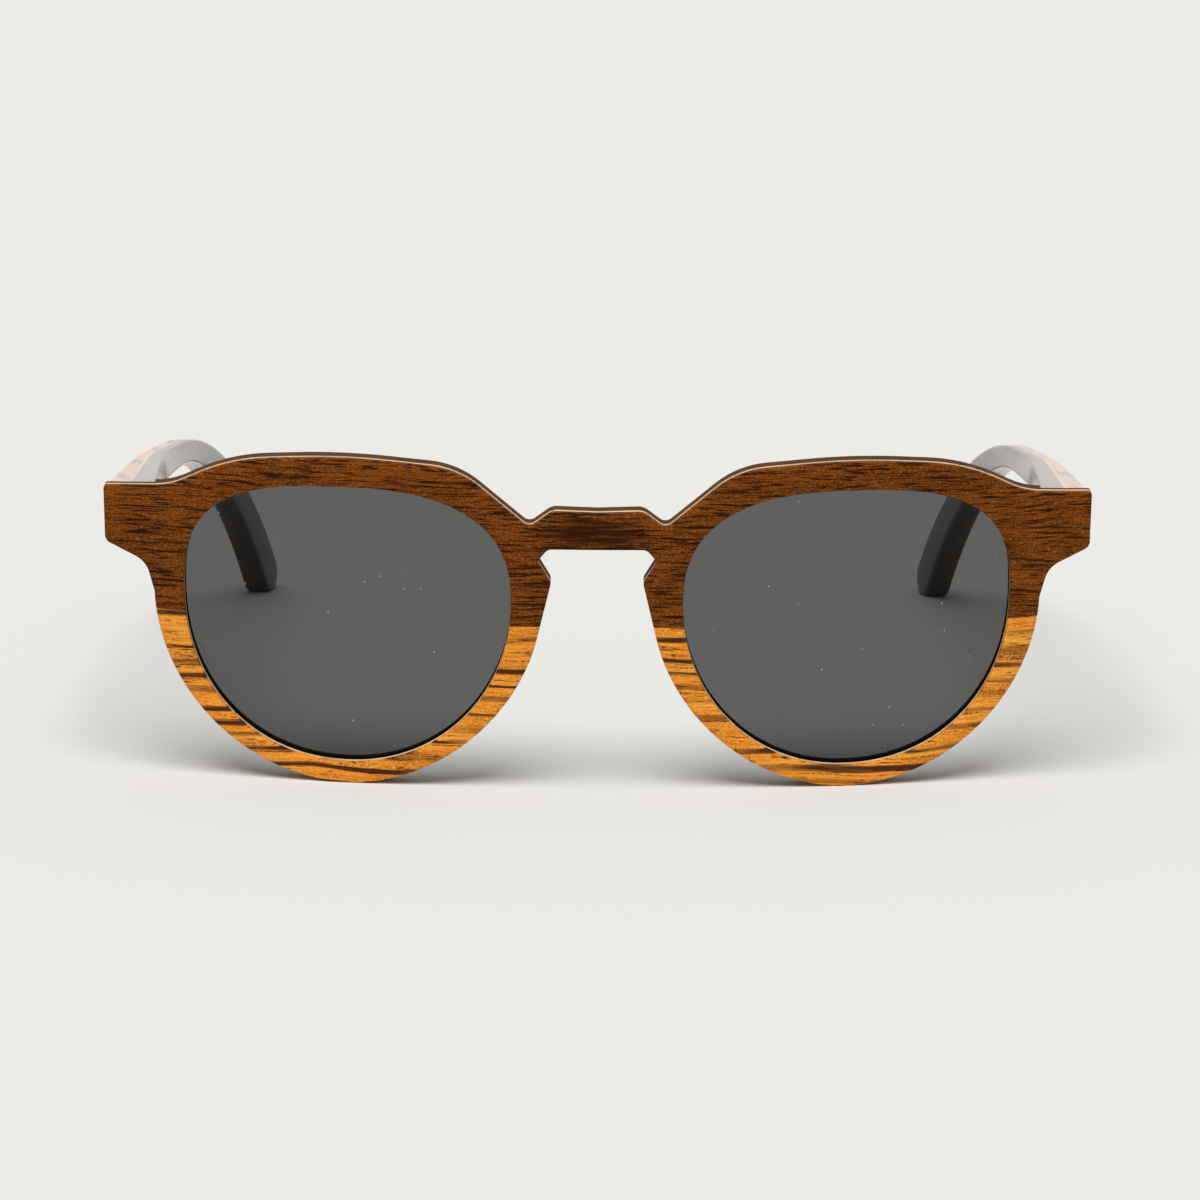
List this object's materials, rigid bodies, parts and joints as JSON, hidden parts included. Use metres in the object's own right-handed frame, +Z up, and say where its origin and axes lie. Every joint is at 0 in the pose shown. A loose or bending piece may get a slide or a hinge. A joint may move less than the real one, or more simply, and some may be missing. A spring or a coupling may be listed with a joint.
{
  "type": "sunglasses",
  "caption": "Wooden sunglasses with a curved laminated front, rounded smoke lenses, a keyhole bridge and tapering temples that fold on sprung hinges.",
  "frame": {"origin": "middle of the width and of the depth, on the ground under the rims and the temple tips", "axes": "+X towards the wearer's left, +Y from the front back along the temples, +Z up"},
  "size_m": [0.142, 0.1522, 0.0478],
  "materials": {
    "walnut": "satin lacquer",
    "zebrawood": "satin lacquer",
    "pale_wood": "satin lacquer",
    "inner_wood": "satin lacquer",
    "smoke_lens": "polished",
    "hinge_metal": "satin",
    "screw_steel": "satin"
  },
  "bodies": {
    "front": {"walnut_brow_veneer": "walnut", "zebrawood_rim_veneer_left": "zebrawood", "zebrawood_rim_veneer_right": "zebrawood", "pale_ply": "pale_wood", "core_ply": "inner_wood", "back_ply": "inner_wood", "lens_left": "smoke_lens", "nose_pad_left": "inner_wood", "hinge_leaf_left": "hinge_metal", "leaf_screws_left": "screw_steel", "pivot_screw_left": "screw_steel", "lens_right": "smoke_lens", "nose_pad_right": "inner_wood", "hinge_leaf_right": "hinge_metal", "leaf_screws_right": "screw_steel", "pivot_screw_right": "screw_steel"},
    "link_left": {"hinge_slider_left": "hinge_metal", "slider_nut_left": "screw_steel", "hinge_spring_left": "screw_steel"},
    "temple_left": {"temple_outer_ply_left": "zebrawood", "temple_pale_ply_left": "pale_wood", "temple_inner_ply_left": "walnut", "hinge_housing_left": "hinge_metal", "housing_screw_left": "screw_steel"},
    "link_right": {"hinge_slider_right": "hinge_metal", "slider_nut_right": "screw_steel", "hinge_spring_right": "screw_steel"},
    "temple_right": {"temple_outer_ply_right": "zebrawood", "temple_pale_ply_right": "pale_wood", "temple_inner_ply_right": "walnut", "hinge_housing_right": "hinge_metal", "housing_screw_right": "screw_steel"}
  },
  "joints": [
    {"name": "fold_left", "type": "hinge", "parent": "front", "child": "link_left", "pos_m": [0.0625, -0.06033, 0.03755], "axis": [0, 0, 1], "range_deg": [0, 85]},
    {"name": "flex_left", "type": "slide", "parent": "link_left", "child": "temple_left", "axis": [0, 1, 0], "range_m": [0, 0.002], "stiffness_N_per_m": 1500, "springref_m": -0.002, "deforming": ["hinge_spring_left"]},
    {"name": "fold_right", "type": "hinge", "parent": "front", "child": "link_right", "pos_m": [-0.0625, -0.06033, 0.03755], "axis": [0, 0, 1], "range_deg": [-73, 0]},
    {"name": "flex_right", "type": "slide", "parent": "link_right", "child": "temple_right", "axis": [0, 1, 0], "range_m": [0, 0.002], "stiffness_N_per_m": 1500, "springref_m": -0.002, "deforming": ["hinge_spring_right"]}
  ]
}
